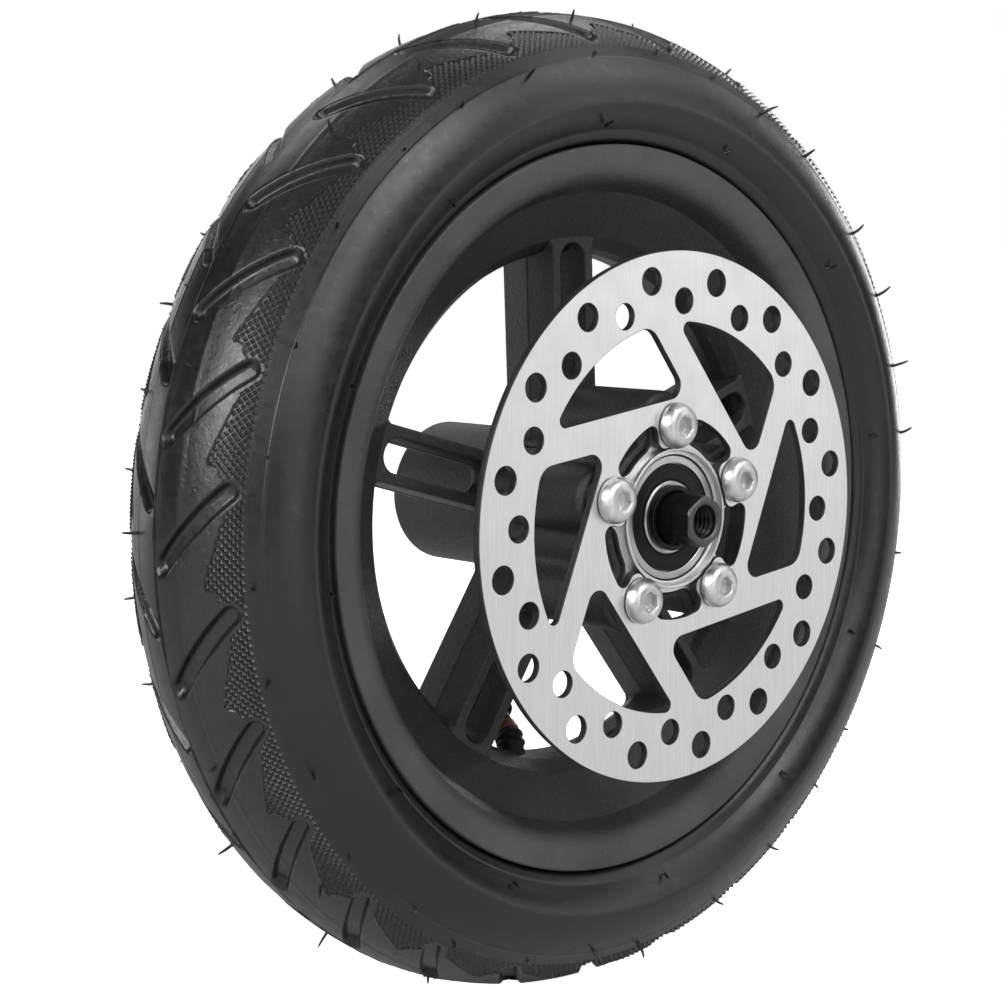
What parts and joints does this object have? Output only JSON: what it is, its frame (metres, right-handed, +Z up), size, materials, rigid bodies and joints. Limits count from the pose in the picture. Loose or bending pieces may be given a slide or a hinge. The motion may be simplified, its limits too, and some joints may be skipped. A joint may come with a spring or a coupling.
{
  "type": "scooter wheel with brake disc",
  "caption": "Small pneumatic scooter wheel: tyre and tube on a black cast rim with twin-bar spokes, drilled brake disc bolted to the hub, and a fixed tapped axle in sealed ball bearings.",
  "frame": {"origin": "the wheel's centre, on the spin axis and in the tyre's centre plane", "axes": "+Y along the spin axis from the brake disc side to the plain side, +Z up, +X to the right seen from the disc side"},
  "size_m": [0.2282, 0.0966, 0.2282],
  "materials": {
    "tyre_rubber": "matt moulded rubber",
    "tube_rubber": "smooth",
    "rim_black": "cast aluminium with a fine-textured matt black coat",
    "disc_steel": "brushed",
    "bolt_zinc": "bright plated",
    "bearing_steel": "ground",
    "seal_rubber": "satin",
    "axle_black": "blackened",
    "valve_brass": "machined",
    "cap_plastic": "matt"
  },
  "bodies": {
    "axle_assembly": {"axle": "axle_black", "bearing_spacer_tube": "bearing_steel", "front_axle_collar": "axle_black", "rear_axle_collar": "axle_black", "front_bearing_inner_race": "bearing_steel", "rear_bearing_inner_race": "bearing_steel"},
    "wheel": {"tyre": "tyre_rubber", "inner_tube": "tube_rubber", "valve_stem": "valve_brass", "valve_core": "valve_brass", "rim_and_hub_casting": "rim_black", "brake_disc": "disc_steel", "disc_bolt_1": "bolt_zinc", "disc_bolt_2": "bolt_zinc", "disc_bolt_3": "bolt_zinc", "disc_bolt_4": "bolt_zinc", "disc_bolt_5": "bolt_zinc", "front_bearing_outer_race": "bearing_steel", "front_bearing_outside_seal": "seal_rubber", "front_bearing_inside_seal": "seal_rubber", "rear_bearing_outer_race": "bearing_steel", "rear_bearing_outside_seal": "seal_rubber", "rear_bearing_inside_seal": "seal_rubber"},
    "front_ball_set": {"front_bearing_cage": "cap_plastic", "front_bearing_ball_1": "bearing_steel", "front_bearing_ball_2": "bearing_steel", "front_bearing_ball_3": "bearing_steel", "front_bearing_ball_4": "bearing_steel", "front_bearing_ball_5": "bearing_steel", "front_bearing_ball_6": "bearing_steel", "front_bearing_ball_7": "bearing_steel", "front_bearing_ball_8": "bearing_steel"},
    "rear_ball_set": {"rear_bearing_cage": "cap_plastic", "rear_bearing_ball_1": "bearing_steel", "rear_bearing_ball_2": "bearing_steel", "rear_bearing_ball_3": "bearing_steel", "rear_bearing_ball_4": "bearing_steel", "rear_bearing_ball_5": "bearing_steel", "rear_bearing_ball_6": "bearing_steel", "rear_bearing_ball_7": "bearing_steel", "rear_bearing_ball_8": "bearing_steel"},
    "valve_pin": {"valve_pin": "bearing_steel"},
    "valve_cap": {"valve_cap": "cap_plastic"}
  },
  "joints": [
    {"name": "wheel_spin", "type": "hinge", "parent": "axle_assembly", "child": "wheel", "pos_m": [0, 0, 0], "axis": [0, 1, 0], "continuous": true},
    {"name": "front_ball_set_orbit", "type": "hinge", "parent": "axle_assembly", "child": "front_ball_set", "pos_m": [0, -0.0336, 0], "axis": [0, 1, 0], "continuous": true},
    {"name": "rear_ball_set_orbit", "type": "hinge", "parent": "axle_assembly", "child": "rear_ball_set", "pos_m": [0, 0.0354, 0], "axis": [0, 1, 0], "continuous": true},
    {"name": "valve_pin_press", "type": "slide", "parent": "wheel", "child": "valve_pin", "axis": [0.1388, 0.8192, 0.5565], "range_m": [-0.001, 0]},
    {"name": "valve_cap_pull", "type": "slide", "parent": "wheel", "child": "valve_cap", "axis": [0.1388, 0.8192, 0.5565], "range_m": [0, 0.012]}
  ],
  "couplings": [
    {"joint": "front_ball_set_orbit", "follows": "wheel_spin", "ratio": 0.615},
    {"joint": "rear_ball_set_orbit", "follows": "wheel_spin", "ratio": 0.615}
  ]
}
